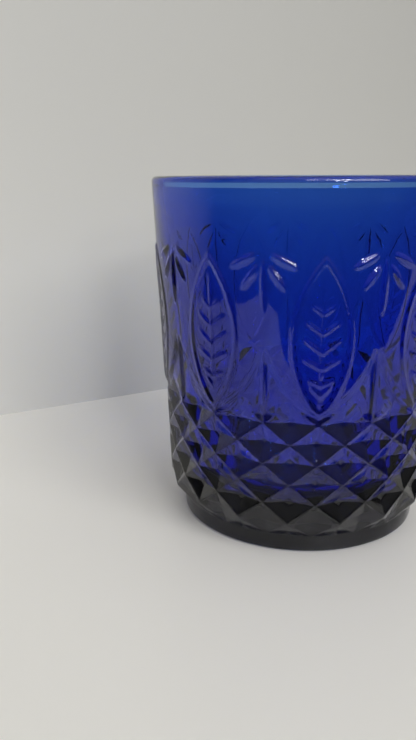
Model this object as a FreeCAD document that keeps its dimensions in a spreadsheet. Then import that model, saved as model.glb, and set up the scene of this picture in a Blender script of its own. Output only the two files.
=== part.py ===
"""Pressed-glass tumbler with a band of cut diamonds, pointed-oval medallions and fans.

The glass is one pressed piece: a turned blank with its bowl, five rows of diamond-shaped
hollows round the lower wall, tall facets above them, and a low relief that follows the wall.
Lengths are in millimetres, +Z is up and the glass stands on the XY plane.
"""
import FreeCAD
import Part
import Sketcher
import os

SIZES = {
    "total_height": "96.5",
    "rim_radius": "42.7",
    "rim_wall": "2.8",
    "band_radius": "39.6",
    "heel_radius": "38.6",
    "foot_radius": "34.4",
    "foot_height": "4.5",
    "bowl_radius": "31.2",
    "bowl_corner": "7",
    "floor_height": "12",
    "recess_radius": "28.5",
    "recess_depth": "0.8",
    "diamond_count": "18",
    "diamond_rise": "5.4667",
    "diamond_depth": "2.1",
    "heel_depth": "2.4",
    "ridge_overlap": "0.35",
    "heel_land": "0.3",
    "cutter_reach": "1.5",
    "spike_rise": "17",
    "medallion_count": "9",
    "medallion_foot": "38.2",
    "medallion_rise": "40.7",
    "medallion_half_width": "7.6",
    "border_width": "1.2",
    "fan_level": "80",
    "long_petal_reach": "8.7",
    "long_petal_length": "13.4",
    "long_petal_bearing": "0",
    "long_petal_turn": "0",
    "low_petal_reach": "7.1",
    "low_petal_length": "6.9",
    "low_petal_bearing": "28",
    "low_petal_turn": "36",
    "side_petal_reach": "5.8",
    "side_petal_length": "7.2",
    "side_petal_bearing": "63.5",
    "side_petal_turn": "63.5",
    "petal_width": "1.5",
    "petal_height": "0.55",
    "petal_root": "0.5",
    "relief_height": "0.6",
    "relief_root": "1.5",
}

BAND_STEPS = 5
HEEL_STEPS = 1
LIP_FACETS = 6
CORNER_FACETS = 5
BORDER_FACETS = 8
PETALS = (("side_petal", -1), ("low_petal", -1), ("long_petal", 1), ("low_petal", 1), ("side_petal", 1))
ORIGIN = -1
V_AXIS = -2
H_AXIS = -1
NEARLY_ZERO = 1e-9

HEEL_LEVEL = "(Sizes.foot_height + Sizes.diamond_rise)"
BAND_LEVEL = "(Sizes.foot_height + %d * Sizes.diamond_rise)" % (BAND_STEPS + HEEL_STEPS)
BAND_SLOPE = "((Sizes.band_radius - Sizes.heel_radius) / (%d * Sizes.diamond_rise))" % BAND_STEPS
LIP_RADIUS = "(Sizes.rim_wall / 2)"
LIP_LEVEL = "(Sizes.total_height - %s)" % LIP_RADIUS
WALL_SLOPE = "((Sizes.rim_radius - Sizes.band_radius) / (%s - %s))" % (LIP_LEVEL, BAND_LEVEL)
HALF_PITCH = "(180 deg / Sizes.diamond_count)"
HALF_TURN = "(%s + atan(Sizes.ridge_overlap / Sizes.band_radius))" % HALF_PITCH


def wall_radius(level):
    """Give the radius of the plain wall at a height.

    Args:
        level: Expression for the height.

    Returns:
        Expression for the radius.
    """
    return "(Sizes.band_radius + %s * (%s - %s))" % (WALL_SLOPE, level, BAND_LEVEL)


class Tumbler:
    """The document, its sheet of sizes and the body that the features are added to."""

    def __init__(self):
        """Open the document and write the sheet."""
        self.doc = FreeCAD.newDocument("tumbler")
        self.sheet = self.doc.addObject("Spreadsheet::Sheet", "Sizes")
        for row, (name, text) in enumerate(SIZES.items(), start=1):
            self.sheet.set("A%d" % row, name)
            self.sheet.set("B%d" % row, text)
            self.sheet.setAlias("B%d" % row, name)
        self.doc.recompute()
        self.body = self.doc.addObject("PartDesign::Body", "Glass")
        self.body.Label = "tumbler"

    def value(self, text):
        """Give the number that an expression stands for.

        Args:
            text: Expression in the names of the sheet.

        Returns:
            The value as a float, angles in degrees.
        """
        found = self.body.evalExpression(text)
        return float(getattr(found, "Value", found))

    def origin(self, role):
        """Find one of the body's origin planes or axes.

        Args:
            role: The role of the plane or axis, such as XZ_Plane.

        Returns:
            The origin feature.
        """
        return [item for item in self.body.Origin.OriginFeatures if item.Role == role][0]

    def sketch(self, name, role):
        """Start a sketch on one of the body's origin planes.

        Args:
            name: Name of the sketch.
            role: The role of the plane.

        Returns:
            The empty sketch.
        """
        made = self.body.newObject("Sketcher::SketchObject", name)
        made.AttachmentSupport = [(self.origin(role), "")]
        made.MapMode = "FlatFace"
        return made

    def wall_sketch(self, name, radius, level, slope, azimuth, out):
        """Start a sketch on a plane that leans with the wall at one place on it.

        Args:
            name: Name of the sketch.
            radius: Expression for the wall's radius at that place.
            level: Expression for the height of that place.
            slope: Expression for the wall's gain in radius per height there.
            azimuth: Expression for the angle round the axis from +X.
            out: Expression for the plane's distance outwards from the wall.

        Returns:
            The empty sketch, with its X along the wall's circle and its Y up the wall.
        """
        made = self.sketch(name, "YZ_Plane")
        lean = "atan(%s)" % slope
        reach = "(%s + (%s) * cos(%s))" % (radius, out, lean)
        base = "vector(%s * sin(%s); %s - (%s) * sin(%s); %s * cos(%s))" % (
            reach, azimuth, level, out, lean, reach, azimuth)
        turn = "rotation(vector(0; 1; 0); %s) * rotation(vector(1; 0; 0); %s)" % (azimuth, lean)
        made.setExpression("AttachmentOffset", "placement(%s; %s)" % (base, turn))
        return made

    def pin(self, sketch, geo, pos, name, axis, text):
        """Tie one coordinate of a sketch point to an expression.

        Args:
            sketch: The sketch.
            geo: Index of the geometry.
            pos: Which of its points.
            name: Name of the constraint.
            axis: X or Y.
            text: Expression for the coordinate.
        """
        number = self.value(text)
        if abs(number) < NEARLY_ZERO:
            line = V_AXIS if axis == "X" else H_AXIS
            sketch.addConstraint(Sketcher.Constraint("PointOnObject", geo, pos, line))
            return
        ends = (ORIGIN, 1, geo, pos) if number > 0 else (geo, pos, ORIGIN, 1)
        index = sketch.addConstraint(Sketcher.Constraint("Distance" + axis, *ends, abs(number)))
        sketch.renameConstraint(index, name)
        sketch.setExpression("Constraints." + name, text if number > 0 else "-(%s)" % text)

    def outline(self, sketch, prefix, corners):
        """Draw a closed outline of straight lines, each corner tied to its expressions.

        Args:
            sketch: The sketch to draw in.
            prefix: Start of the constraints' names.
            corners: X and Y expressions of each corner, in order.
        """
        spots = [FreeCAD.Vector(self.value(x), self.value(y), 0) for x, y in corners]
        first = sketch.GeometryCount
        for start, end in zip(spots, spots[1:] + spots[:1]):
            sketch.addGeometry(Part.LineSegment(start, end), False)
        for side, (x, y) in enumerate(corners):
            after = (side + 1) % len(corners)
            sketch.addConstraint(Sketcher.Constraint("Coincident", first + side, 2, first + after, 1))
            name = "%s%d" % (prefix, side)
            self.pin(sketch, first + side, 1, name + "_across", "X", x)
            self.pin(sketch, first + side, 1, name + "_up", "Y", y)

    def blank(self):
        """Turn the glass without its pattern: foot, heel, wall, round lip, bowl and underside."""
        lip_middle = "(Sizes.rim_radius - %s)" % LIP_RADIUS
        corner_level = "(Sizes.floor_height + Sizes.bowl_corner)"
        corner_start = "(Sizes.bowl_radius - Sizes.bowl_corner)"
        lip = []
        for step in range(LIP_FACETS + 1):
            turn = "(180 deg * %d / %d)" % (step, LIP_FACETS)
            lip.append(("%s + %s * cos(%s)" % (lip_middle, LIP_RADIUS, turn),
                        "%s + %s * sin(%s)" % (LIP_LEVEL, LIP_RADIUS, turn)))
        corner = []
        for step in range(CORNER_FACETS + 1):
            turn = "(90 deg * %d / %d)" % (step, CORNER_FACETS)
            corner.append(("%s + Sizes.bowl_corner * cos(%s)" % (corner_start, turn),
                           "%s - Sizes.bowl_corner * sin(%s)" % (corner_level, turn)))
        corners = [
            ("0", "Sizes.recess_depth"),
            ("Sizes.recess_radius", "Sizes.recess_depth"),
            ("Sizes.recess_radius + Sizes.recess_depth", "0"),
            ("Sizes.foot_radius", "0"),
            ("Sizes.foot_radius", "Sizes.foot_height"),
            ("Sizes.heel_radius", HEEL_LEVEL),
            ("Sizes.band_radius", BAND_LEVEL),
        ] + lip + corner + [("0", "Sizes.floor_height")]
        profile = self.sketch("Profile", "XZ_Plane")
        self.outline(profile, "turn", corners)
        turned = self.body.newObject("PartDesign::Revolution", "Blank")
        turned.Profile = profile
        turned.ReferenceAxis = (profile, ["V_Axis"])
        turned.Angle = 360
        turned.Refine = False
        self.doc.recompute()

    def hollow(self, name, radius, level, slope, azimuth, depth, corners):
        """Cut one faceted hollow, a pyramid whose point lies under the wall.

        Args:
            name: Start of the features' names.
            radius: Expression for the wall's radius at the hollow's point.
            level: Expression for the height of the point.
            slope: Expression for the wall's gain in radius per height.
            azimuth: Expression for the angle round the axis from +X.
            depth: Expression for the depth of the point under the wall.
            corners: For each corner on the wall, expressions for its X, its Y and how far it
                lies under the leaning plane that touches the wall.

        Returns:
            The cut.
        """
        mouth = self.wall_sketch(name + "Mouth", radius, level, slope, azimuth, "Sizes.cutter_reach")
        point = self.wall_sketch(name + "Point", radius, level, slope, azimuth, "-(%s)" % depth)
        point.addGeometry(Part.Point(FreeCAD.Vector(0, 0, 0)), False)
        point.addConstraint(Sketcher.Constraint("Coincident", 0, 1, ORIGIN, 1))
        spread = "((Sizes.cutter_reach + %s) / (%s - (%s)))"
        drawn = []
        for x, y, under in corners:
            grow = spread % (depth, depth, under)
            drawn.append(("(%s) * %s" % (x, grow), "(%s) * %s" % (y, grow)))
        self.doc.recompute()
        self.outline(mouth, "corner", drawn)
        cut = self.body.newObject("PartDesign::SubtractiveLoft", name)
        cut.Profile = mouth
        cut.Sections = [(point, ["Vertex1"])]
        cut.Ruled = True
        cut.Closed = False
        cut.Refine = False
        self.doc.recompute()
        return cut

    def round_the_axis(self, name, features, count):
        """Repeat features evenly round the axis and make the repeat the body's tip.

        Args:
            name: Name of the pattern.
            features: The features to repeat.
            count: Expression for their number.
        """
        before = self.body.Shape.Volume
        pattern = self.body.newObject("PartDesign::PolarPattern", name)
        pattern.Originals = features
        pattern.Axis = (self.origin("Z_Axis"), [""])
        pattern.Angle = 360
        pattern.Refine = False
        pattern.setExpression("Occurrences", count)
        self.body.Tip = pattern
        self.doc.recompute()
        if abs(self.body.Shape.Volume - before) < NEARLY_ZERO:
            raise RuntimeError("%s changes nothing" % name)

    def diamonds(self):
        """Cut the rows of diamond hollows, each row half a pitch round from the next."""
        cuts = []
        for step in range(BAND_STEPS):
            radius = "(Sizes.heel_radius + %d * Sizes.diamond_rise * %s)" % (step, BAND_SLOPE)
            level = "(%s + %d * Sizes.diamond_rise)" % (HEEL_LEVEL, step)
            azimuth = "(%d * %s)" % (step % 2, HALF_PITCH)
            slope, depth, rise, drop = BAND_SLOPE, "Sizes.diamond_depth", "0", "0"
            up = down = "(Sizes.diamond_rise / cos(atan(%s)))" % slope
            if step == 0:
                over = "(Sizes.heel_radius + Sizes.diamond_rise * %s)" % BAND_SLOPE
                slope = "((%s - Sizes.foot_radius) / (2 * Sizes.diamond_rise))" % over
                depth = "Sizes.heel_depth"
                gain, loss = "(%s - Sizes.heel_radius)" % over, "(Sizes.heel_radius - Sizes.foot_radius)"
                lean = "atan(%s)" % slope
                kept = "(1 - Sizes.heel_land / Sizes.diamond_rise)"
                up = "(Sizes.diamond_rise * cos(%s) + %s * sin(%s))" % (lean, gain, lean)
                rise = "(Sizes.diamond_rise * sin(%s) - %s * cos(%s))" % (lean, gain, lean)
                down = "(%s * (Sizes.diamond_rise * cos(%s) + %s * sin(%s)))" % (kept, lean, loss, lean)
                drop = "(%s * (%s * cos(%s) - Sizes.diamond_rise * sin(%s)))" % (kept, loss, lean, lean)
            side = "(%s * sin(%s))" % (radius, HALF_TURN)
            under = "(%s * (1 - cos(%s)) * cos(atan(%s)))" % (radius, HALF_TURN, slope)
            corners = [("0", "-%s" % down, drop), (side, "0", under), ("0", up, rise), ("-%s" % side, "0", under)]
            cuts.append(self.hollow("Diamond%d" % (step + 1), radius, level, slope, azimuth, depth, corners))
        self.round_the_axis("Diamonds", cuts, "Sizes.diamond_count")

    def foot(self):
        """Make the foot ring whole again where the lowest hollows run into it."""
        inside = "((Sizes.recess_radius + Sizes.recess_depth + Sizes.foot_radius) / 2)"
        profile = self.sketch("FootProfile", "XZ_Plane")
        self.outline(profile, "foot", [
            (inside, "0"), ("Sizes.foot_radius", "0"),
            ("Sizes.foot_radius", "Sizes.foot_height"), (inside, "Sizes.foot_height"),
        ])
        before = self.body.Shape.Volume
        ring = self.body.newObject("PartDesign::Revolution", "FootRing")
        ring.Profile = profile
        ring.ReferenceAxis = (profile, ["V_Axis"])
        ring.Angle = 360
        ring.Refine = False
        self.doc.recompute()
        if self.body.Shape.Volume <= before:
            raise RuntimeError("the foot ring adds nothing")

    def spikes(self):
        """Cut the tall leaning hollows above the band, a mirrored pair on each side of a medallion."""
        top_radius = wall_radius("(%s + Sizes.spike_rise)" % BAND_LEVEL)
        lean = "cos(atan(%s))" % WALL_SLOPE
        side = "(Sizes.band_radius * sin(%s))" % HALF_TURN
        side_under = "(Sizes.band_radius * (1 - cos(%s)) * %s)" % (HALF_TURN, lean)
        top = "(%s * sin(%s))" % (top_radius, HALF_TURN)
        top_under = "(%s * (1 - cos(%s)) * %s)" % (top_radius, HALF_TURN, lean)
        bottom = "Sizes.diamond_rise"
        bottom_under = "(%s * (%s - %s))" % (bottom, BAND_SLOPE, WALL_SLOPE)
        cuts = []
        for name, sign in (("SpikeRight", ""), ("SpikeLeft", "-")):
            corners = [
                ("0", "-%s" % bottom, bottom_under),
                (side, "0", side_under),
                ("%s%s" % (sign, top), "Sizes.spike_rise / %s" % lean, top_under),
                ("-%s" % side, "0", side_under),
            ]
            azimuth = "(%s%s)" % (sign, HALF_PITCH)
            cuts.append(self.hollow(
                name, "Sizes.band_radius", BAND_LEVEL, WALL_SLOPE, azimuth, "Sizes.diamond_depth", corners))
        self.round_the_axis("Spikes", cuts, "Sizes.medallion_count")

    def raise_up(self, name, sketch):
        """Pad an outline out through the wall's face, higher than the relief is kept.

        Args:
            name: Name of the pad.
            sketch: The outline, drawn inside the wall.

        Returns:
            The pad.
        """
        pad = self.body.newObject("PartDesign::Pad", name)
        pad.Profile = sketch
        pad.Refine = False
        pad.setExpression("Length", "Sizes.relief_root + 2 * Sizes.relief_height")
        self.doc.recompute()
        return pad

    def medallion(self):
        """Raise the border of a medallion, a pointed oval of two arcs in short straight sides.

        Returns:
            The pad.
        """
        middle = "(Sizes.medallion_foot + Sizes.medallion_rise / 2)"
        border = self.wall_sketch(
            "BorderOutline", wall_radius(middle), middle, WALL_SLOPE, "0 deg", "-Sizes.relief_root")
        tip, width = "(Sizes.medallion_rise / 2)", "Sizes.medallion_half_width"
        arc = "((%s ^ 2 + %s ^ 2) / (2 * %s))" % (tip, width, width)
        self.doc.recompute()
        for name, radius in (("outer", arc), ("inner", "(%s - Sizes.border_width)" % arc)):
            most = "acos((%s - %s) / %s)" % (arc, width, radius)
            side = []
            for step in range(BORDER_FACETS):
                turn = "(%s * %d / %d)" % (most, 2 * step - BORDER_FACETS, BORDER_FACETS)
                across = "%s * cos(%s) - %s + %s" % (radius, turn, arc, width)
                side.append((across if step else "0", "%s * sin(%s)" % (radius, turn)))
            back = [("-(%s)" % across if across != "0" else "0", "-(%s)" % up) for across, up in side]
            self.outline(border, name, side + back)
        self.doc.recompute()
        return self.raise_up("Border", border)

    def fans(self):
        """Raise the fans of pointed petals between the medallions, each petal with a crest."""
        petals = []
        grow = "((Sizes.petal_root + Sizes.petal_height) / Sizes.petal_height)"
        for number, (kind, side) in enumerate(PETALS, start=1):
            length = "Sizes.%s_length" % kind
            reach = "Sizes.%s_reach" % kind
            turn = "(%d * Sizes.%s_turn * 1 deg)" % (side, kind)
            bearing = "(%d * Sizes.%s_bearing * 1 deg)" % (side, kind)
            level = "(Sizes.fan_level - %s * cos(%s))" % (reach, bearing)
            radius = wall_radius(level)
            azimuth = "(180 deg / Sizes.medallion_count + asin(%s * sin(%s) / %s))" % (reach, bearing, radius)
            name = "Petal%d" % number
            foot = self.wall_sketch(name + "Foot", radius, level, WALL_SLOPE, azimuth, "-Sizes.petal_root")
            crest = self.wall_sketch(name + "Crest", radius, level, WALL_SLOPE, azimuth, "Sizes.petal_height")
            crest.addGeometry(Part.Point(FreeCAD.Vector(0, 0, 0)), False)
            crest.addConstraint(Sketcher.Constraint("Coincident", 0, 1, ORIGIN, 1))
            self.doc.recompute()
            along, aside = "(%s / 2 * %s)" % (length, grow), "(Sizes.petal_width / 2 * %s)" % grow
            half = [("%s * sin(%s)" % (along, turn), "-(%s * cos(%s))" % (along, turn)),
                    ("%s * cos(%s)" % (aside, turn), "%s * sin(%s)" % (aside, turn))]
            self.outline(foot, "corner", half + [("-(%s)" % x, "-(%s)" % y) for x, y in half])
            petal = self.body.newObject("PartDesign::AdditiveLoft", name)
            petal.Profile = foot
            petal.Sections = [(crest, ["Vertex1"])]
            petal.Ruled = True
            petal.Closed = False
            petal.Refine = False
            self.doc.recompute()
            petals.append(petal)
        self.round_the_axis("Fans", petals, "Sizes.medallion_count")

    def medallions(self):
        """Raise the medallions round the wall and trim them to an even height."""
        self.round_the_axis("Borders", [self.medallion()], "Sizes.medallion_count")
        far = "(Sizes.rim_radius + Sizes.relief_root + 4 * Sizes.relief_height)"
        trim = self.sketch("TrimProfile", "XZ_Plane")
        self.outline(trim, "trim", [
            ("Sizes.band_radius + Sizes.relief_height", BAND_LEVEL), (far, BAND_LEVEL),
            (far, LIP_LEVEL), ("Sizes.rim_radius + Sizes.relief_height", LIP_LEVEL),
        ])
        before = self.body.Shape.Volume
        groove = self.body.newObject("PartDesign::Groove", "Trim")
        groove.Profile = trim
        groove.ReferenceAxis = (trim, ["V_Axis"])
        groove.Angle = 360
        groove.Refine = False
        self.doc.recompute()
        if self.body.Shape.Volume >= before:
            raise RuntimeError("the relief is not trimmed")

    def check_and_write(self):
        """Check every feature and write the part's file."""
        self.doc.recompute()
        for item in self.doc.Objects:
            if "Invalid" in item.State or "Error" in item.State:
                raise RuntimeError("%s is not valid" % item.Name)
        shape = self.body.Shape
        if shape.isNull() or not shape.isValid() or len(shape.Solids) != 1:
            raise RuntimeError("the glass is not one valid solid")
        os.makedirs("parts", exist_ok=True)
        shape.exportStep(os.path.join("parts", self.body.Label + ".step"))
        print("volume %.1f mm3, faces %d" % (shape.Volume, len(shape.Faces)))


def main():
    """Build the tumbler and write its file."""
    glass = Tumbler()
    glass.blank()
    glass.fans()
    glass.diamonds()
    glass.foot()
    glass.spikes()
    glass.medallions()
    glass.check_and_write()


main()
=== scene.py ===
"""Looks of the cobalt-blue pressed-glass tumbler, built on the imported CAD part.

Lengths of the glass and the camera are in millimetres and are turned into metres where they are used.
Those of the finish and the stage are in metres.
An azimuth of 0 faces -Y and grows towards +X. The pattern is worked out with a medallion at azimuth 0;
then the glass, the stage and the camera are turned together by FRONT, to where the part has a medallion.
"""

import logging
import math
from dataclasses import dataclass, field
from enum import Enum

import bpy
import bmesh
import numpy as np
from mathutils import Matrix, Vector

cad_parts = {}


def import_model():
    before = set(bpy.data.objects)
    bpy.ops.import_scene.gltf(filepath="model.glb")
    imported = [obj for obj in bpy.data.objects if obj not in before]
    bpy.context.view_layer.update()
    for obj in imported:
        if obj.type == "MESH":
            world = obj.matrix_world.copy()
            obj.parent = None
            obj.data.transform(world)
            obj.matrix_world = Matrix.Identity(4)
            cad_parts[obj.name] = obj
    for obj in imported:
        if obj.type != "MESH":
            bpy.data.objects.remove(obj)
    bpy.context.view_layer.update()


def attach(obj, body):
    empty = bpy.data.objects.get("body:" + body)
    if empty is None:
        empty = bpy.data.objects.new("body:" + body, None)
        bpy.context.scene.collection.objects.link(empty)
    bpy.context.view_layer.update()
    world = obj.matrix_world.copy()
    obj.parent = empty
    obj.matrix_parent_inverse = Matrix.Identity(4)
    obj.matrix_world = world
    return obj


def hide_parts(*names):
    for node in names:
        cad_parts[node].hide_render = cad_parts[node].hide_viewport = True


LOG = logging.getLogger("tumbler")
MM = 0.001
PHOTO_HEIGHT_PX = 740
# Azimuth of the medallion that the photograph looks at.
FRONT = math.radians(10.0)


class Node(Enum):
    """Names of the CAD nodes that this scene dresses."""

    GLASS = "tumbler"


class Slot(Enum):
    """Material slots of the record."""

    GLASS = "glass"


def tent(u: np.ndarray, soft: float) -> np.ndarray:
    """Height of a ridge across its width: 1 at the rounded crest, and 0 from a little beyond u = 1.

    It is 1 plus the rounding, less the root of the sum of the squares of the distance and the rounding.

    Args:
        u: Distance from the crest line in half widths.
        soft: Radius of the rounding at the crest, in half widths.

    Returns:
        The height, from 0 to 1.
    """
    top = 1.0 + soft - np.sqrt(u * u + soft * soft)
    return np.clip(top, 0.0, None)


def roof(u: np.ndarray, power: float) -> np.ndarray:
    """Height of a rib with two slightly rounded slopes: 1 less the distance to a power, 0 from u = 1 on.

    Args:
        u: Distance from the axis in half widths.
        power: 1 for straight slopes, 2 for a parabola.

    Returns:
        The height, from 0 to 1.
    """
    return 1.0 - np.clip(np.abs(u), 0.0, 1.0) ** power


def swell(t: np.ndarray) -> np.ndarray:
    """Half a sine over 0 to 1 and nothing outside: how a petal or rib rises and dies away along its length.

    Args:
        t: Place along the length, from 0 to 1.

    Returns:
        The share of the full height.
    """
    return np.where((t > 0.0) & (t < 1.0), np.sin(np.pi * np.clip(t, 0.0, 1.0)), 0.0)


@dataclass
class Profile:
    """The turned shape of the glass, without its pattern."""

    height: float = 96.5
    rim_radius: float = 42.67
    rim_wall: float = 2.8
    lip_bead: float = 0.3
    bead_drop: float = 1.3
    band_radius: float = 39.6
    heel_radius: float = 38.6
    foot_radius: float = 34.4
    foot_height: float = 4.5
    foot_joint: float = 0.35
    foot_middle: float = 2.0
    # Inset and height of points on the foot's rounded lower edge.
    foot_curve: tuple = ((0.0, 0.7), (0.1, 0.35), (0.35, 0.1), (0.7, 0.0))
    rows: int = 6
    rise: float = 5.4667
    bowl_radius: float = 31.2
    bowl_corner: float = 7.0
    floor_height: float = 12.0
    recess_radius: float = 28.5
    recess_depth: float = 0.8
    floor_rings: tuple = (4.0, 10.0, 16.0, 21.0)
    corner_steps: int = 11
    wall_start: float = 0.06
    wall_steps: int = 15
    bead_steps: int = 8
    lip_steps: int = 17
    dish_steps: int = 9

    @property
    def band_level(self) -> float:
        """Height of the top of the diamond band."""
        return self.foot_height + self.rows * self.rise

    @property
    def lip_level(self) -> float:
        """Height at which the wall turns into the rounded lip."""
        return self.height - self.rim_wall / 2.0

    def wall(self, z: np.ndarray) -> np.ndarray:
        """Radius of the plain outer wall, straight from the diamond band to the lip.

        Args:
            z: Heights.

        Returns:
            Radii.
        """
        return np.interp(z, [self.band_level, self.lip_level], [self.band_radius, self.rim_radius])

    def inner_rings(self) -> np.ndarray:
        """Bowl, lip and plain wall from the middle of the floor outwards, as rows of radius and height.

        The floor is flat, its corner is a quarter circle, the wall is straight, and the lip is half an
        ellipse over a slight bead that swells evenly inwards.

        Returns:
            Array of radius and height, one row for each ring, without the pole.
        """
        floor = [(r, self.floor_height) for r in self.floor_rings]
        turn = np.linspace(0.0, np.pi / 2.0, self.corner_steps)
        start = self.bowl_radius - self.bowl_corner
        corner = np.stack([start + self.bowl_corner * np.sin(turn),
                           self.floor_height + self.bowl_corner * (1.0 - np.cos(turn))], axis=1)
        low = self.floor_height + self.bowl_corner
        inside = self.rim_radius - self.rim_wall
        bead_level = self.lip_level - self.bead_drop
        share = np.linspace(self.wall_start, 1.0, self.wall_steps)
        height = np.concatenate([low + (bead_level - low) * share,
                                 np.linspace(bead_level, self.lip_level, self.bead_steps)[1:]])
        bead = self.lip_bead * np.clip((height - bead_level) / self.bead_drop, 0.0, 1.0)
        straight = self.bowl_radius + (inside - self.bowl_radius) * (height - low) / (self.lip_level - low)
        wall = np.stack([straight - bead, height], axis=1)
        turn = np.linspace(np.pi, 0.0, self.lip_steps)[1:]
        half = (self.rim_wall + self.lip_bead) / 2.0
        lip = np.stack([self.rim_radius - half + half * np.cos(turn),
                        self.lip_level + self.rim_wall / 2.0 * np.sin(turn)], axis=1)
        return np.concatenate([np.array(floor), corner, wall, lip])

    def foot_rings(self) -> np.ndarray:
        """Foot ring and recessed underside from the heel inwards, as rows of radius and height.

        The underside is a shallow dish, whose height falls with the square of the radius, from the pole to
        the ring.

        Returns:
            Array of radius and height, one row for each ring, without the pole.
        """
        outside = ((0.0, self.foot_height - self.foot_joint), (0.0, self.foot_middle))
        ring = np.array([(self.foot_radius - back, z) for back, z in outside + self.foot_curve])
        edge = self.recess_radius + self.recess_depth
        inwards = np.linspace(edge, 0.0, self.dish_steps)[:-1]
        dish = np.stack([inwards, self.recess_depth * (1.0 - (inwards / edge) ** 2)], axis=1)
        return np.concatenate([ring, dish])


@dataclass
class Ornament:
    """The pressed relief of the wall: medallions with veined leaves, fans between them, spikes below."""

    medallions: int = 9
    middle: float = 58.6
    half_rise: float = 19.3
    half_width: float = 7.0
    border_half: float = 0.8
    border_height: float = 0.38
    border_round: float = 1.7
    vein_levels: tuple = (65.2, 60.4, 55.7, 51.75, 47.5, 44.7)
    vein_runs: tuple = (2.8, 4.1, 4.5, 4.5, 3.1, 2.5)
    vein_slopes: tuple = (0.7, 0.72, 0.79, 0.57, 0.46, 1.1)
    vein_above: float = 0.75
    vein_below: float = 0.36
    vein_height: float = 0.36
    vein_round: float = 1.4
    vein_end: float = 2.5
    midrib: tuple = (47.2, 73.8)
    midrib_half: float = 0.36
    midrib_height: float = 0.26
    midrib_soft: float = 0.3
    midrib_end: float = 3.0
    fan_level: float = 80.0
    # Distance from the fan's axis and drop at a petal's upper end, then at its lower end.
    petals: tuple = ((0.0, 1.9, 0.0, 15.4), (1.3, 3.5, 5.4, 9.1), (1.95, 1.0, 8.4, 4.2))
    petal_half: float = 1.0
    petal_height: float = 0.7
    petal_round: float = 1.18
    petal_taper: float = 0.45
    petal_fade: float = 0.4
    petal_least: float = 0.02
    spike_top: float = 22.0
    spike_fall: float = 7.0
    spike_limit: float = 19.0
    hollow_depth: float = 2.1
    bevel_depth: float = 0.7
    bevel_width: float = 1.3
    bevel_start: float = 2.0
    ridge_half: float = 0.8
    relief_start: float = 1.2

    def fold(self, azimuth: np.ndarray) -> np.ndarray:
        """Angle from the nearest medallion's axis, so that one half sector stands for all.

        Args:
            azimuth: Angles round the glass.

        Returns:
            Angles from 0, on a medallion's axis, to half a sector, on a fan's axis.
        """
        sector = 2.0 * np.pi / self.medallions
        return np.abs((azimuth + sector / 2.0) % sector - sector / 2.0)

    def border(self, x: np.ndarray, z: np.ndarray) -> np.ndarray:
        """Ridge along a pointed oval, two arcs that meet at its tips.

        Its height falls with the distance from the arc, whose middle lies across the axis.

        Args:
            x: Distance from the medallion's axis.
            z: Height.

        Returns:
            Height of the ridge over the wall.
        """
        arc = (self.half_rise ** 2 + self.half_width ** 2) / (2.0 * self.half_width)
        off = np.hypot(x + arc - self.half_width, z - self.middle) - arc
        return self.border_height * roof(off / self.border_half, self.border_round)

    def leaf(self, x: np.ndarray, z: np.ndarray) -> np.ndarray:
        """Raised veins that slant up from a thin midrib, gentle above their crest and steep below it.

        A vein's height falls with a power of the distance from its crest, and with a square root towards
        its end.

        Args:
            x: Distance from the medallion's axis.
            z: Height.

        Returns:
            Height of the leaf over the wall.
        """
        along = (z - self.midrib[0]) / (self.midrib[1] - self.midrib[0])
        ends = np.minimum(1.0, self.midrib_end * swell(along))
        high = self.midrib_height * tent(x / self.midrib_half, self.midrib_soft) * ends
        for level, run, slope in zip(self.vein_levels, self.vein_runs, self.vein_slopes):
            off = (z - level - slope * x) / math.hypot(1.0, slope)
            reach = np.clip(self.vein_end * (1.0 - x / run), 0.0, 1.0)
            aside = np.where(off > 0.0, off / self.vein_above, off / self.vein_below)
            rib = self.vein_height * np.sqrt(reach) * roof(aside, self.vein_round)
            high = np.maximum(high, rib)
        return high

    def fan(self, xi: np.ndarray, z: np.ndarray) -> np.ndarray:
        """Raised lens-shaped petals that spread down from one point.

        Along a petal, its width and its crest are powers of half a sine; across it, it has a roof's slopes.

        Args:
            xi: Distance from the fan's axis.
            z: Height.

        Returns:
            Height of the petals over the wall.
        """
        drop = self.fan_level - z
        high = np.zeros_like(z)
        for x0, d0, x1, d1 in self.petals:
            length = math.hypot(x1 - x0, d1 - d0)
            ux, ud = (x1 - x0) / length, (d1 - d0) / length
            along = ((xi - x0) * ux + (drop - d0) * ud) / length
            aside = (xi - x0) * ud - (drop - d0) * ux
            width = self.petal_half * np.maximum(swell(along), self.petal_least) ** self.petal_taper
            crest = self.petal_height * swell(along) ** self.petal_fade
            high = np.maximum(high, crest * roof(aside / width, self.petal_round))
        return high

    def spike(self, xi: np.ndarray, y: np.ndarray, half_cell: np.ndarray) -> np.ndarray:
        """Depth of the facets above the band, between the spike's upright ridge and a falling curve.

        The curve falls exponentially with the distance from the ridge, and under it the wall sinks to the
        depth of the upper diamond hollows.

        Args:
            xi: Distance from the spike's axis.
            y: Height over the band.
            half_cell: Width of half a diamond at that height.

        Returns:
            Depth under the wall.
        """
        deepest = self.hollow_depth * np.clip(1.0 - np.abs(xi / half_cell - 1.0), 0.0, 1.0)
        curve = np.minimum(self.spike_limit, self.spike_top * np.exp(-xi / self.spike_fall))
        share = np.clip(1.0 - y / curve, 0.0, 1.0)
        under = (curve - y) / np.sqrt(1.0 + (curve / self.spike_fall) ** 2)
        bevel = self.bevel_depth * np.clip(under / self.bevel_width, 0.0, 1.0)
        beside = np.clip(xi / self.ridge_half, 0.0, 1.0)
        above = np.clip(y / self.bevel_start, 0.0, 1.0)
        return np.maximum(deepest * share, bevel * beside * above)

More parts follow.
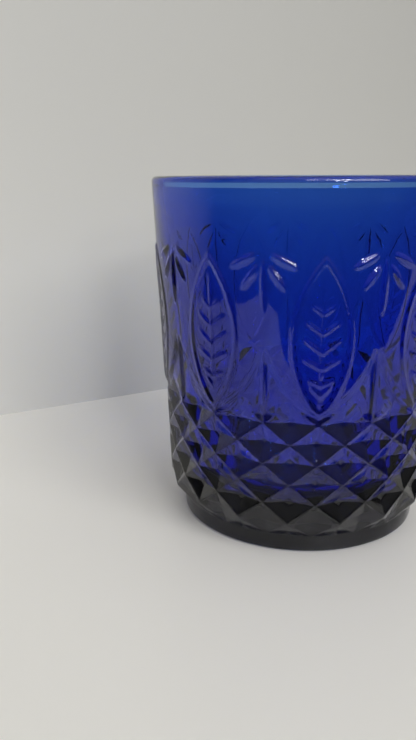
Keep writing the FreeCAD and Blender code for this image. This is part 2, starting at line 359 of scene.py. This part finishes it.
    def radius(self, azimuth: np.ndarray, z: np.ndarray, profile: Profile) -> np.ndarray:
        """Radius of the patterned wall above the diamond band: the wall, plus the highest relief, less the
        depth of the spikes' facets.

        Args:
            azimuth: Angles round the glass.
            z: Heights.
            profile: The turned shape that carries the relief.

        Returns:
            Radii.
        """
        wall = profile.wall(z)
        angle = self.fold(azimuth)
        x = wall * angle
        xi = wall * (np.pi / self.medallions - angle)
        y = z - profile.band_level
        raised = np.maximum(np.maximum(self.border(x, z), self.leaf(x, z)), self.fan(xi, z))
        raised = raised * np.clip(y / self.relief_start, 0.0, 1.0)
        sunk = self.spike(xi, y, wall * np.pi / (2.0 * self.medallions))
        return wall + raised - sunk


@dataclass
class DiamondBand:
    """Rows of diamond-shaped hollows between a net of straight ridges."""

    cells: int = 18
    depth: float = 2.1
    heel_depth: float = 2.0
    foot_dip: float = 0.05
    soft: float = 0.05
    # Grid lines of a facet, from its ridge to the deepest point and then along the ridge.
    across: tuple = (0.0, 0.05, 0.15, 0.4, 0.7, 1.0)
    along: tuple = (0.0, 0.03, 0.1, 0.3, 0.5, 0.7, 0.9, 0.97, 1.0)

    def corners(self, profile: Profile, row: np.ndarray, column: np.ndarray) -> np.ndarray:
        """Places of the net's crossings and the hollows' deepest points, which alternate like a chessboard.

        A place is its radius times (sin, -cos) of its angle, at the level of its row.

        Args:
            profile: The turned shape that is cut.
            row: Row numbers, from 0 at the top of the band.
            column: Column numbers round the glass.

        Returns:
            Points, with one more axis for X, Y and Z.
        """
        steps = np.arange(profile.rows + 1)
        level = profile.band_level - steps * profile.rise
        heel = profile.rows - 1
        band = profile.band_radius + (profile.heel_radius - profile.band_radius) * steps / heel
        crossing = np.where(steps == profile.rows, profile.foot_radius, band)
        deep = crossing - np.where(steps == heel, self.heel_depth, self.depth)
        deep[-1] = profile.foot_radius - self.foot_dip
        radius = np.where((row + column) % 2 == 0, crossing[row], deep[row])
        angle = column * np.pi / self.cells
        return np.stack([radius * np.sin(angle), -radius * np.cos(angle), level[row]], axis=-1)

    def rounded(self, points: np.ndarray, sink: np.ndarray, s: np.ndarray) -> np.ndarray:
        """Move facets outwards beside their ridges, so that the ridges are rounded.

        The shift is sink * (s - sqrt(s^2 + soft^2) + soft) * (1 - s): nothing at the ridge and at the
        deepest point.

        Args:
            points: Points on flat facets.
            sink: Radius of the ridge less that of the deepest point.
            s: Place from the ridge, 0, to the deepest point, 1.

        Returns:
            The moved points.
        """
        shift = sink * (s - np.sqrt(s ** 2 + self.soft ** 2) + self.soft) * (1.0 - s)
        radius = np.hypot(points[..., 0], points[..., 1])
        points[..., :2] *= ((radius + shift) / radius)[..., None]
        return points

    def facets(self, profile: Profile) -> np.ndarray:
        """Every facet as a grid from its ridge to the hollow's deepest point.

        A facet's point is (1 - s) * ridge(t) + s * deepest, then rounded beside the ridge.

        Args:
            profile: The turned shape that is cut.

        Returns:
            Points of shape facets, across, along, 3.
        """
        numbers = np.meshgrid(np.arange(profile.rows), np.arange(2 * self.cells), indexing="ij")
        row, column = [grid.ravel() for grid in numbers]
        even = (row + column) % 2 == 0
        left, right = column, column + 1
        first = self.corners(profile, row, np.where(even, left, right))
        second = self.corners(profile, row + 1, np.where(even, right, left))
        upper = self.corners(profile, row, np.where(even, right, left))
        lower = self.corners(profile, row + 1, np.where(even, left, right))
        first, second = np.concatenate([first, first]), np.concatenate([second, second])
        deepest = np.concatenate([upper, lower])
        s = np.array(self.across)[None, :, None, None]
        t = np.array(self.along)[None, None, :, None]
        ridge = first[:, None, None] * (1.0 - t) + second[:, None, None] * t
        points = ridge * (1.0 - s) + deepest[:, None, None] * s
        depth = np.hypot(deepest[:, 0], deepest[:, 1])[:, None, None]
        sink = np.hypot(ridge[..., 0], ridge[..., 1]) - depth
        return self.rounded(points, sink, s[..., 0])


@dataclass(frozen=True)
class MouldSkin:
    """Faint waves of a mould, wiped marks and a worn foot, as a node group."""

    wave_scale: float = 110.0
    wave_height: float = 0.00003
    wave_detail: float = 1.0
    mark_scale: float = 45.0
    mark_detail: float = 5.0
    mark_range: tuple = (0.5, 0.75)
    smoothest: float = 0.02
    roughest: float = 0.08
    worn_level: float = 0.0006
    worn_depth: float = 0.0004
    worn_rough: float = 0.2

    def group(self) -> bpy.types.NodeTree:
        """Make the group, from a place on the glass to a roughness and a normal.

        Returns:
            The node group.
        """
        tree = bpy.data.node_groups.new("mould_skin", "ShaderNodeTree")
        tree.interface.new_socket("Vector", in_out="INPUT", socket_type="NodeSocketVector")
        tree.interface.new_socket("Roughness", in_out="OUTPUT", socket_type="NodeSocketFloat")
        tree.interface.new_socket("Normal", in_out="OUTPUT", socket_type="NodeSocketVector")
        nodes, links = tree.nodes, tree.links
        place, result = nodes.new("NodeGroupInput"), nodes.new("NodeGroupOutput")
        waves, marks = nodes.new("ShaderNodeTexNoise"), nodes.new("ShaderNodeTexNoise")
        waves.inputs["Scale"].default_value = self.wave_scale
        waves.inputs["Detail"].default_value = self.wave_detail
        marks.inputs["Scale"].default_value = self.mark_scale
        marks.inputs["Detail"].default_value = self.mark_detail
        bump = nodes.new("ShaderNodeBump")
        bump.inputs["Distance"].default_value = self.wave_height
        spread = nodes.new("ShaderNodeMapRange")
        spread.inputs["From Min"].default_value, spread.inputs["From Max"].default_value = self.mark_range
        spread.inputs["To Min"].default_value = self.smoothest
        spread.inputs["To Max"].default_value = self.roughest
        split = nodes.new("ShaderNodeSeparateXYZ")
        worn, most = nodes.new("ShaderNodeMapRange"), nodes.new("ShaderNodeMath")
        worn.inputs["From Min"].default_value = self.worn_level
        worn.inputs["From Max"].default_value = self.worn_level - self.worn_depth
        worn.inputs["To Max"].default_value = self.worn_rough
        most.operation = "MAXIMUM"
        for node in (waves, marks, split):
            links.new(place.outputs["Vector"], node.inputs["Vector"])
        links.new(split.outputs["Z"], worn.inputs["Value"])
        links.new(worn.outputs["Result"], most.inputs[0])
        links.new(waves.outputs["Fac"], bump.inputs["Height"])
        links.new(marks.outputs["Fac"], spread.inputs["Value"])
        links.new(spread.outputs["Result"], most.inputs[1])
        links.new(most.outputs["Value"], result.inputs["Roughness"])
        links.new(bump.outputs["Normal"], result.inputs["Normal"])
        return tree


@dataclass(frozen=True)
class CobaltGlass:
    """Clear cobalt-blue glass: the colour is in its depth, and its skin has the faint waves of a mould."""

    ior: float = 1.52
    density: float = 700.0
    colour: tuple = (0.069, 0.474, 0.901)
    skin: MouldSkin = MouldSkin()

    def material(self) -> bpy.types.Material:
        """Make the material.

        Returns:
            The glass.
        """
        glass = bpy.data.materials.new("cobalt_glass")
        glass.use_nodes = True
        nodes, links = glass.node_tree.nodes, glass.node_tree.links
        shader = nodes["Principled BSDF"]
        shader.inputs["Base Color"].default_value = (1.0, 1.0, 1.0, 1.0)
        shader.inputs["IOR"].default_value = self.ior
        shader.inputs["Transmission Weight"].default_value = 1.0
        where = nodes.new("ShaderNodeTexCoord")
        skin = nodes.new("ShaderNodeGroup")
        skin.node_tree = self.skin.group()
        links.new(where.outputs["Object"], skin.inputs["Vector"])
        links.new(skin.outputs["Roughness"], shader.inputs["Roughness"])
        links.new(skin.outputs["Normal"], shader.inputs["Normal"])
        depth = nodes.new("ShaderNodeVolumeAbsorption")
        depth.inputs["Color"].default_value = (*self.colour, 1.0)
        depth.inputs["Density"].default_value = self.density
        links.new(depth.outputs["Volume"], nodes["Material Output"].inputs["Volume"])
        return glass


@dataclass
class Tumbler:
    """The glass as one closed surface: bowl, lip, patterned wall, diamond band, foot and underside."""

    profile: Profile = field(default_factory=Profile)
    ornament: Ornament = field(default_factory=Ornament)
    band: DiamondBand = field(default_factory=DiamondBand)
    finish: CobaltGlass = field(default_factory=CobaltGlass)
    # Fine columns in each half of a diamond.
    fine: int = 20
    leaf_rows: int = 94
    leaf_top: float = 82.8
    leaf_gap: float = 0.5
    leaf_start: float = 0.35
    plain_steps: int = 9
    weld: float = 0.004

    def columns(self) -> tuple[np.ndarray, np.ndarray]:
        """Azimuths of the fine columns, and which of them carry the coarse rings.

        The coarse rings meet the diamond band, so they use its places across a facet.

        Returns:
            Azimuths, and indices of the coarse columns.
        """
        count = 2 * self.band.cells * self.fine
        azimuth = np.arange(count) * 2.0 * np.pi / count
        places = np.round(np.array(self.band.across[:-1]) * self.fine).astype(int)
        back = 2 * self.fine - np.round(np.array(self.band.across[:0:-1]) * self.fine).astype(int)
        pair = np.concatenate([places, back])
        kept = (pair[None, :] + 2 * self.fine * np.arange(self.band.cells)[:, None]).ravel()
        return azimuth, kept

    @staticmethod
    def ring_points(radius: np.ndarray, height: np.ndarray, azimuth: np.ndarray) -> np.ndarray:
        """Points of rings round the axis: radius times (sin, -cos) of the azimuth, and the height.

        Args:
            radius: Radii, one row for each ring.
            height: Heights, one row for each ring.
            azimuth: Azimuths of the columns.

        Returns:
            Points of shape rings, columns, 3.
        """
        shape = np.broadcast_shapes(radius.shape, height.shape, (1, azimuth.size))
        radius, height = np.broadcast_to(radius, shape), np.broadcast_to(height, shape)
        return np.stack([radius * np.sin(azimuth), -radius * np.cos(azimuth), height], axis=-1)

    @staticmethod
    def strip(rows: int, columns: int, start: int) -> np.ndarray:
        """Quads between neighbouring rings of a closed band.

        Args:
            rows: Number of rings.
            columns: Number of columns.
            start: Index of the first point.

        Returns:
            Indices, four for each quad.
        """
        i = np.arange(rows - 1)[:, None] * columns + start
        j = np.arange(columns)[None, :]
        k = (j + 1) % columns
        return np.stack([i + j, i + k, i + columns + k, i + columns + j], axis=-1).reshape(-1, 4)

    @staticmethod
    def stitch(coarse: int, fine: int, kept: np.ndarray, count: int) -> np.ndarray:
        """Triangles between a coarse ring and a fine one.

        Each fine edge is joined to the coarse point before it, and each coarse edge to the fine point at
        its end.

        Args:
            coarse: Index of the coarse ring's first point.
            fine: Index of the fine ring's first point.
            kept: Fine columns that the coarse columns stand on.
            count: Number of fine columns.

        Returns:
            Indices, three for each triangle.
        """
        j = np.arange(count)
        owner = np.searchsorted(kept, j, side="right") - 1
        fans = np.stack([coarse + owner, fine + j, fine + (j + 1) % count], axis=-1)
        i = np.arange(kept.size)
        after = (i + 1) % kept.size
        closing = np.stack([coarse + i, fine + kept[after], coarse + after], axis=-1)
        return np.concatenate([fans, closing])

    def surface(self) -> tuple[np.ndarray, list[np.ndarray]]:
        """Work out the whole surface.

        The bowl, the lip and the foot are coarse rings, the relief is a grid of fine rings, and each facet
        of the diamond band has a grid of its own. They share the points along which they meet.

        Returns:
            Points in millimetres and lists of faces.
        """
        azimuth, kept = self.columns()
        coarse = azimuth[kept]
        inner = self.profile.inner_rings()
        plain_z = np.linspace(self.profile.lip_level, self.leaf_top, self.plain_steps)[1:]
        plain = np.stack([self.profile.wall(plain_z), plain_z], axis=1)
        upper = np.concatenate([inner, plain])
        foot = self.profile.foot_rings()
        leaf_low = self.profile.band_level + self.leaf_start
        leaf_z = np.linspace(self.leaf_top - self.leaf_gap, leaf_low, self.leaf_rows)
        grid_a, grid_z = np.broadcast_arrays(azimuth[None, :], leaf_z[:, None])
        leaf = self.ring_points(self.ornament.radius(grid_a, grid_z, self.profile), grid_z, azimuth)
        top = self.ring_points(upper[:, :1], upper[:, 1:], coarse)
        low = self.ring_points(foot[:, :1], foot[:, 1:], coarse)
        facets = self.band.facets(self.profile)
        edge_up, edge_low = self.band_edges(kept)
        poles = np.array([[0.0, 0.0, self.profile.floor_height], [0.0, 0.0, self.profile.recess_depth]])
        blocks = [top.reshape(-1, 3), leaf.reshape(-1, 3), edge_up, edge_low, low.reshape(-1, 3),
                  facets.reshape(-1, 3), poles]
        ends = np.cumsum([len(block) for block in blocks])
        at_leaf, at_up, at_edge, at_foot, at_facets, at_poles = ends[:-1]
        width, count = kept.size, azimuth.size
        last_top, last_foot = at_leaf - width, at_facets - width
        j = np.arange(width)
        k = (j + 1) % width
        faces = [
            self.strip(len(upper), width, 0),
            self.stitch(last_top, at_leaf, kept, count),
            self.strip(self.leaf_rows, count, at_leaf),
            self.stitch(at_up, at_up - count, kept, count),
            np.stack([at_edge + j, at_edge + k, at_foot + k, at_foot + j], axis=-1),
            self.strip(len(foot), width, at_foot),
            self.facet_quads(facets.shape, at_facets),
            np.stack([np.full(width, at_poles), j, k], axis=-1),
            np.stack([np.full(width, at_poles + 1), last_foot + k, last_foot + j], axis=-1),
        ]
        turn = np.array(Matrix.Rotation(FRONT, 3, "Z"))
        return np.concatenate(blocks) @ turn.T, faces

    def band_edges(self, kept: np.ndarray) -> tuple[np.ndarray, np.ndarray]:
        """Upper and lower edge of the diamond band, at the coarse columns.

        Args:
            kept: Fine columns that the coarse columns stand on.

        Returns:
            Points of the upper and of the lower edge.
        """
        cell, place = np.divmod(kept, self.fine)
        share = (place / self.fine)[:, None]
        edges = []
        for row in (0, self.profile.rows):
            here = self.band.corners(self.profile, np.full(kept.size, row), cell)
            there = self.band.corners(self.profile, np.full(kept.size, row), cell + 1)
            crossing_first = ((cell + row) % 2 == 0)[:, None]
            s = np.where(crossing_first, share, 1.0 - share)
            crossing = np.where(crossing_first, here, there)
            deepest = np.where(crossing_first, there, here)
            points = crossing * (1.0 - s) + deepest * s
            sink = np.hypot(crossing[:, 0], crossing[:, 1]) - np.hypot(deepest[:, 0], deepest[:, 1])
            edges.append(self.band.rounded(points, sink, s[:, 0]))
        return edges[0], edges[1]

    @staticmethod
    def facet_quads(shape: tuple, start: int) -> np.ndarray:
        """Quads of every facet's grid.

        Args:
            shape: Shape of the facets' points.
            start: Index of the first point.

        Returns:
            Indices, four for each quad.
        """
        facets, across, along = shape[:3]
        f = np.arange(facets)[:, None, None] * across * along + start
        i = np.arange(across - 1)[None, :, None] * along
        j = np.arange(along - 1)[None, None, :]
        base = f + i + j
        return np.stack([base, base + 1, base + along + 1, base + along], axis=-1).reshape(-1, 4)

    def build(self) -> bpy.types.Object:
        """Make the glass and put it in place of the CAD node.

        Returns:
            The finished piece.
        """
        points, faces = self.surface()
        mesh = bpy.data.meshes.new("glass_wall")
        lists = [row for block in faces for row in block.tolist()]
        mesh.from_pydata((points * MM).tolist(), [], lists)
        shell = bmesh.new()
        shell.from_mesh(mesh)
        bmesh.ops.remove_doubles(shell, verts=shell.verts, dist=self.weld * MM)
        bmesh.ops.recalc_face_normals(shell, faces=shell.faces)
        open_edges = sum(1 for edge in shell.edges if len(edge.link_faces) != 2)
        shell.to_mesh(mesh)
        shell.free()
        mesh.polygons.foreach_set("use_smooth", np.ones(len(mesh.polygons), dtype=bool))
        mesh.materials.append(self.finish.material())
        piece = bpy.data.objects.new("glass_wall", mesh)
        bpy.context.collection.objects.link(piece)
        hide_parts(Node.GLASS.value)
        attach(piece, "root")
        mesh.calc_loop_triangles()
        LOG.info("glass_wall: %d triangles, %d open edges", len(mesh.loop_triangles), open_edges)
        return piece


@dataclass
class PhotoView:
    """The camera at the photograph's place."""

    focal_px: float = 708.5
    distance: float = 204.982
    height: float = 96.945
    azimuth_deg: float = -7.3135
    yaw_deg: float = 0.3337
    pitch_deg: float = -15.4584
    roll_deg: float = 0.2342
    sensor: float = 36.0
    nearest: float = 10.0

    def build(self) -> bpy.types.Object:
        """Make the camera and give it to the scene.

        Returns:
            The camera.
        """
        data = bpy.data.cameras.new("photo_view")
        data.sensor_fit = "VERTICAL"
        data.sensor_height = self.sensor
        data.lens = self.focal_px / PHOTO_HEIGHT_PX * self.sensor
        data.clip_start = self.nearest * MM
        camera = bpy.data.objects.new("photo_view", data)
        bpy.context.collection.objects.link(camera)
        turn = (Matrix.Rotation(math.radians(self.yaw_deg), 3, "Z")
                @ Matrix.Rotation(math.radians(self.pitch_deg), 3, "X")
                @ Matrix.Rotation(math.radians(self.roll_deg), 3, "Y"))
        axes = Matrix(((1.0, 0.0, 0.0), (0.0, 0.0, -1.0), (0.0, 1.0, 0.0)))
        azimuth = math.radians(self.azimuth_deg)
        away = self.distance * MM
        place = (away * math.sin(azimuth), -away * math.cos(azimuth), self.height * MM)
        stand = Matrix.Translation(place) @ (turn @ axes).to_4x4()
        camera.matrix_world = Matrix.Rotation(FRONT, 4, "Z") @ stand
        bpy.context.scene.camera = camera
        return camera


@dataclass(frozen=True)
class Lamp:
    """A square lamp that faces the glass."""

    name: str
    place: tuple
    size: float
    watts: float

    def build(self) -> bpy.types.Object:
        """Hang the lamp and aim it.

        Returns:
            The lamp.
        """
        data = bpy.data.lights.new(self.name, "AREA")
        data.size = self.size
        data.energy = self.watts
        lamp = bpy.data.objects.new(self.name, data)
        lamp.location = Matrix.Rotation(FRONT, 3, "Z") @ Vector(self.place)
        lamp.rotation_euler = (-lamp.location).to_track_quat("-Z", "Y").to_euler()
        bpy.context.collection.objects.link(lamp)
        return lamp


@dataclass
class Studio:
    """Pale table, grey wall close behind with painted light and shade across it, lamps, a ring light and a
    dim room. Lengths are in metres.
    """

    table_colour: tuple = (0.86, 0.842, 0.79)
    wall_colour: tuple = (0.72, 0.712, 0.672)
    # Place along X and the share of the wall's colour there: painted light and shade, brighter at the left,
    # darker to the right and fading to dark at the far left, as the lamps' light falls off.
    painted_wall_light: tuple = ((-1.6, 0.1), (-0.64, 0.15), (-0.2, 1.12), (0.16, 0.66))
    wall_distance: float = 0.14196
    wall_turn_deg: float = 29.34
    wall_reach: float = 2.0
    wall_rough: float = 1.0
    table_gap: float = 0.0002
    # Points along the near edge of the table, from left to right.
    table_edge: tuple = ((-0.29, -0.02), (-0.274, -0.078), (-0.261, -0.135), (-0.221, -0.171),
                         (-0.171, -0.248), (-0.102, -0.238), (-0.069, -0.19), (-0.041, -0.166),
                         (-0.016, -0.139), (0.4, -0.11))
    table_right: float = 0.5
    table_gloss: float = 0.4
    # Rise of the direction, from 0 at the horizon to 1 overhead, and the light from there.
    room: tuple = ((0.0, 0.06), (0.16, 0.28), (0.55, 0.28), (1.0, 0.9))
    lamps: tuple = (Lamp("soft_light", (0.88, -1.25, 1.29), 1.2, 20.0),
                    Lamp("near_lamp", (0.72, -2.69, 1.13), 0.22, 6.0),
                    Lamp("far_lamp", (1.32, -3.63, 1.04), 0.25, 5.0))
    ring_place: tuple = (0.156, -0.734, 0.882)
    ring_radii: tuple = (0.195, 0.245)
    ring_glow: float = 22.0
    ring_steps: int = 64

    def plane(self, name: str, corners: list, colour: tuple, rough: float) -> bpy.types.Object:
        """Make a flat sheet of the stage.

        Args:
            name: Name of the sheet.
            corners: Its corners.
            colour: Its colour.
            rough: Its roughness.

        Returns:
            The sheet.
        """
        mesh = bpy.data.meshes.new(name)
        mesh.from_pydata([tuple(corner) for corner in corners], [], [tuple(range(len(corners)))])
        paint = bpy.data.materials.new(name)
        paint.use_nodes = True
        shader = paint.node_tree.nodes["Principled BSDF"]
        shader.inputs["Base Color"].default_value = (*colour, 1.0)
        shader.inputs["Roughness"].default_value = rough
        mesh.materials.append(paint)
        sheet = bpy.data.objects.new(name, mesh)
        sheet.rotation_euler.z = FRONT
        bpy.context.collection.objects.link(sheet)
        return sheet

    def show_from_front(self, sheet: bpy.types.Object) -> None:
        """Let a camera behind the sheet look through it.

        Args:
            sheet: A sheet of the stage.
        """
        paint = sheet.data.materials[0]
        nodes, links = paint.node_tree.nodes, paint.node_tree.links
        side, path = nodes.new("ShaderNodeNewGeometry"), nodes.new("ShaderNodeLightPath")
        both, mix = nodes.new("ShaderNodeMath"), nodes.new("ShaderNodeMixShader")
        both.operation = "MULTIPLY"
        links.new(side.outputs["Backfacing"], both.inputs[0])
        links.new(path.outputs["Is Camera Ray"], both.inputs[1])
        links.new(both.outputs["Value"], mix.inputs["Fac"])
        links.new(nodes["Principled BSDF"].outputs["BSDF"], mix.inputs[1])
        links.new(nodes.new("ShaderNodeBsdfTransparent").outputs["BSDF"], mix.inputs[2])
        links.new(mix.outputs["Shader"], nodes["Material Output"].inputs["Surface"])

    def paint_wall_light(self, sheet: bpy.types.Object) -> None:
        """Paint light and shade into the wall's colour from left to right, between the given places: a
        painted falloff of the lamps' light, dark at the far left.

        Args:
            sheet: The wall.
        """
        nodes, links = sheet.data.materials[0].node_tree.nodes, sheet.data.materials[0].node_tree.links
        where, split = nodes.new("ShaderNodeTexCoord"), nodes.new("ShaderNodeSeparateXYZ")
        fade, paint = nodes.new("ShaderNodeMapRange"), nodes.new("ShaderNodeValToRGB")
        # Painted light and shade: the wall's colour is scaled by the share at each place along X.
        left, right = self.painted_wall_light[0][0], self.painted_wall_light[-1][0]
        fade.inputs["From Min"].default_value = left
        fade.inputs["From Max"].default_value = right
        self.fill(paint.color_ramp, [((x - left) / (right - left), [shade * c for c in self.wall_colour])
                                     for x, shade in self.painted_wall_light])
        links.new(where.outputs["Object"], split.inputs["Vector"])
        links.new(split.outputs["X"], fade.inputs["Value"])
        links.new(fade.outputs["Result"], paint.inputs["Fac"])
        links.new(paint.outputs["Color"], nodes["Principled BSDF"].inputs["Base Color"])

    @staticmethod
    def fill(ramp: bpy.types.ColorRamp, stops: list) -> None:
        """Give a colour ramp its stops.

        Args:
            ramp: The ramp.
            stops: Places from 0 to 1 in order, each with a colour.
        """
        while len(ramp.elements) < len(stops):
            ramp.elements.new(1.0)
        for element, (place, colour) in zip(ramp.elements, stops):
            element.position = place
            element.color = (*colour, 1.0)

    def ring_light(self) -> bpy.types.Object:
        """Make a flat glowing ring that faces the glass and only shows in its gloss.

        A point is the ring's middle plus radius times (cos t, sin t) in the ring's own plane.

        Returns:
            The ring.
        """
        turn = (-Vector(self.ring_place)).to_track_quat("-Z", "Y").to_matrix()
        t = np.linspace(0.0, 2.0 * np.pi, self.ring_steps, endpoint=False)
        radius = np.array(self.ring_radii)[:, None]
        flat = np.stack([radius * np.cos(t), radius * np.sin(t), np.zeros((2, t.size))], axis=-1)
        points = flat.reshape(-1, 3) @ np.array(turn).T + np.array(self.ring_place)
        mesh = bpy.data.meshes.new("ring_light")
        mesh.from_pydata(points.tolist(), [], Tumbler.strip(2, t.size, 0).tolist())
        glow = bpy.data.materials.new("ring_light")
        glow.use_nodes = True
        shader = glow.node_tree.nodes["Principled BSDF"]
        shader.inputs["Emission Color"].default_value = (1.0, 1.0, 1.0, 1.0)
        shader.inputs["Emission Strength"].default_value = self.ring_glow
        mesh.materials.append(glow)
        ring = bpy.data.objects.new("ring_light", mesh)
        ring.visible_diffuse = False
        ring.rotation_euler.z = FRONT
        bpy.context.collection.objects.link(ring)
        return ring

    def build(self) -> None:
        """Make the table, the wall, the lamps, the ring light and the light of the room."""
        turn = math.radians(self.wall_turn_deg)
        along = np.array([math.cos(turn), math.sin(turn), 0.0])
        foot = np.array([0.0, self.wall_distance, -self.table_gap])
        up = np.array([0.0, 0.0, self.wall_reach])
        edge = [(x, y, -self.table_gap) for x, y in self.table_edge]
        self.plane("table", edge + [foot + self.table_right * along], self.table_colour, self.table_gloss)
        left, right = foot - self.wall_reach * along, foot + self.wall_reach * along
        corners = [left, right, right + up, left + up]
        wall = self.plane("backdrop", corners, self.wall_colour, self.wall_rough)
        self.show_from_front(wall)
        # Painted light and shade across the wall's colour.
        self.paint_wall_light(wall)
        for lamp in self.lamps:
            lamp.build()
        self.ring_light()
        self.room_light()
        bpy.context.scene.view_settings.view_transform = "Standard"

    def room_light(self) -> bpy.types.World:
        """Make the room's own light, a grey that depends on the height of the direction.

        Returns:
            The world.
        """
        world = bpy.data.worlds.new("room")
        bpy.context.scene.world = world
        world.use_nodes = True
        nodes, links = world.node_tree.nodes, world.node_tree.links
        where = nodes.new("ShaderNodeTexCoord")
        split = nodes.new("ShaderNodeSeparateXYZ")
        ramp = nodes.new("ShaderNodeValToRGB")
        self.fill(ramp.color_ramp, [(place, [level] * 3) for place, level in self.room])
        links.new(where.outputs["Generated"], split.inputs["Vector"])
        links.new(split.outputs["Z"], ramp.inputs["Fac"])
        links.new(ramp.outputs["Color"], nodes["Background"].inputs["Color"])
        return world


def main() -> None:
    """Build the glass, the stage and the camera, and note the sizes."""
    logging.basicConfig(level=logging.INFO, format="%(name)s: %(message)s")
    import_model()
    Tumbler().build()
    Studio().build()
    PhotoView().build()


if __name__ == "__main__":
    main()
